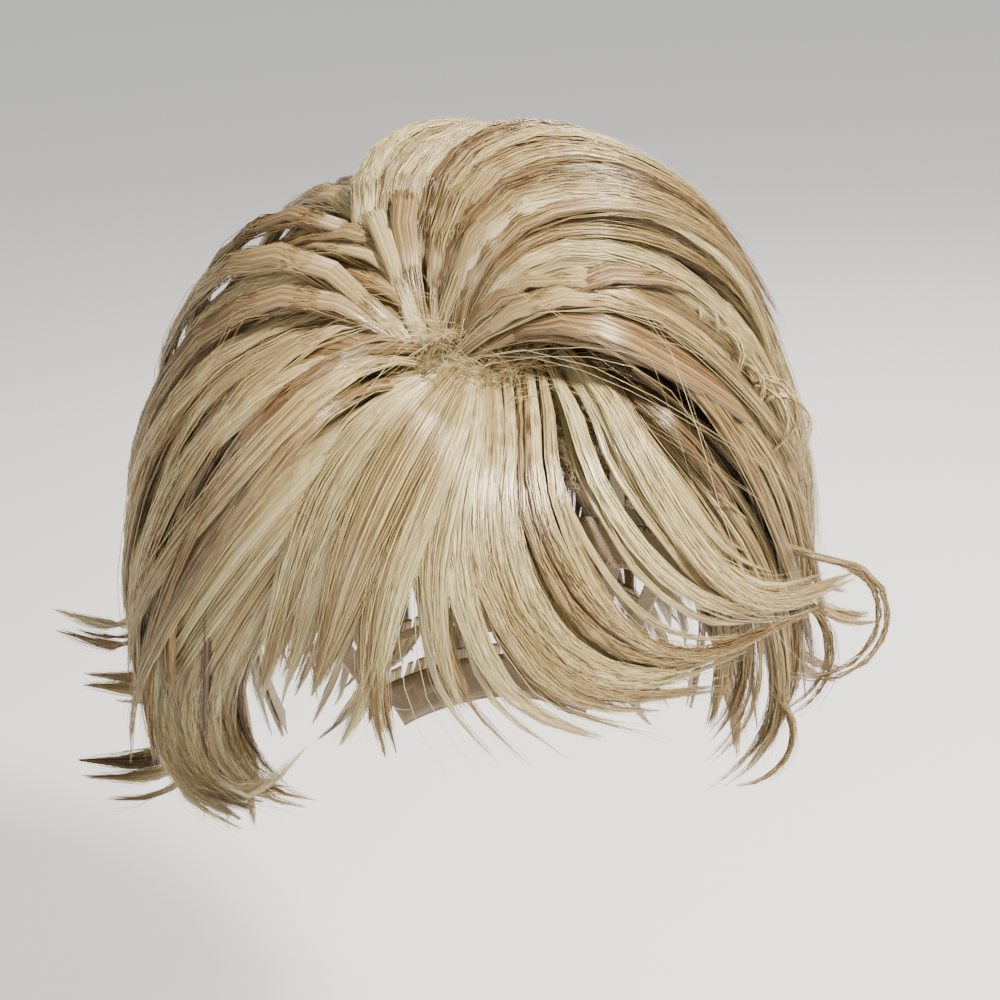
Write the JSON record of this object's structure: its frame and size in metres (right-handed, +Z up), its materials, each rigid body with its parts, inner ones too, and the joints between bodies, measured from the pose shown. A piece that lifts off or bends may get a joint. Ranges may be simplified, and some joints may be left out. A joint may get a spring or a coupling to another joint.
{
  "type": "costume wig",
  "caption": "Short layered shag wig with a lifted swoop, long fringe and flipped ends, sewn in rows on an open stretch cap with bendable ear tabs and hook adjusters at the nape.",
  "frame": {"origin": "centre of the head opening at the hat line, the widest level of the head that the cap fits", "axes": "+Z up towards the crown, -Y towards the face, +X towards the wearer's left ear; millimetres in the source"},
  "size_m": [0.2948, 0.2435, 0.2707],
  "materials": {
    "hair": "glossy synthetic fibre in champagne blonde with beige and brown strands",
    "net": "fine beige stretch net",
    "skin_patch": "skin-coloured patch at the parting",
    "cap_band": "beige stretch band",
    "lining": "soft velvet lining",
    "elastic": "ribbed elastic",
    "weft_tape": "stitched weft header",
    "stay": "bare flat stay",
    "hook_plastic": "dark brown moulded plastic",
    "loop_tape": "woven tape with loops"
  },
  "bodies": {
    "cap": {"crown_net": "net", "parting_patch": "skin_patch", "front_band": "cap_band", "front_lining": "lining", "rib_centre": "elastic", "nape_band": "cap_band", "nape_lining": "lining", "fringe_track": "weft_tape", "side_band_left": "cap_band", "side_band_right": "cap_band", "rib_outer_left": "elastic", "rib_outer_right": "elastic", "rib_inner_left": "elastic", "rib_inner_right": "elastic", "adjuster_loops_left": "loop_tape", "adjuster_loops_right": "loop_tape", "weft_track_1": "weft_tape", "weft_track_2": "weft_tape", "weft_track_3": "weft_tape", "weft_track_4": "weft_tape", "weft_track_5": "weft_tape", "weft_track_6": "weft_tape", "hair_row_1": "hair", "hair_row_2": "hair", "hair_row_3": "hair", "hair_row_4": "hair", "hair_row_5": "hair", "hair_row_6": "hair", "crown_hair_left": "hair", "crown_hair_back": "hair", "crown_hair_right": "hair", "swoop_front": "hair", "swoop_middle": "hair", "swoop_back": "hair", "flip_left_upper": "hair", "flip_left_lower": "hair", "flip_right_upper": "hair", "flip_right_middle": "hair", "flip_right_lower": "hair", "weft_track_7": "weft_tape", "weft_track_8": "weft_tape"},
    "fringe": {"fringe_right": "hair", "fringe_centre": "hair", "fringe_left": "hair"},
    "nape_hair": {"hair_row_7": "hair", "hair_row_8": "hair"},
    "ear_tab_left": {"ear_tab_left": "cap_band", "ear_lining_left": "lining", "ear_stay_left": "stay", "sideburn_left": "hair"},
    "adjuster_left": {"adjuster_hook_left": "hook_plastic", "adjuster_strap_left": "elastic"},
    "ear_tab_right": {"ear_tab_right": "cap_band", "ear_lining_right": "lining", "ear_stay_right": "stay", "sideburn_right": "hair"},
    "adjuster_right": {"adjuster_hook_right": "hook_plastic", "adjuster_strap_right": "elastic"}
  },
  "joints": [
    {"name": "fringe_lift", "type": "hinge", "parent": "cap", "child": "fringe", "pos_m": [0, -0.047, 0.0985], "axis": [-1, 0, 0], "range_deg": [0, 50]},
    {"name": "nape_lift", "type": "hinge", "parent": "cap", "child": "nape_hair", "pos_m": [0, 0.084, -0.0585], "axis": [1, 0, 0], "range_deg": [0, 40]},
    {"name": "ear_tab_left_bend", "type": "hinge", "parent": "cap", "child": "ear_tab_left", "pos_m": [0.077, -0.015, 0.006], "axis": [0, -1, 0], "range_deg": [-6, 25]},
    {"name": "ear_tab_right_bend", "type": "hinge", "parent": "cap", "child": "ear_tab_right", "pos_m": [-0.077, -0.015, 0.006], "axis": [0, 1, 0], "range_deg": [-6, 25]},
    {"name": "adjuster_left_slide", "type": "slide", "parent": "cap", "child": "adjuster_left", "axis": [-0.8415, 0.5403, 0.0055], "range_m": [0, 0.008], "deforming": ["adjuster_strap_left"]},
    {"name": "adjuster_right_slide", "type": "slide", "parent": "cap", "child": "adjuster_right", "axis": [0.8415, 0.5403, 0.0055], "range_m": [0, 0.008], "deforming": ["adjuster_strap_right"]}
  ]
}
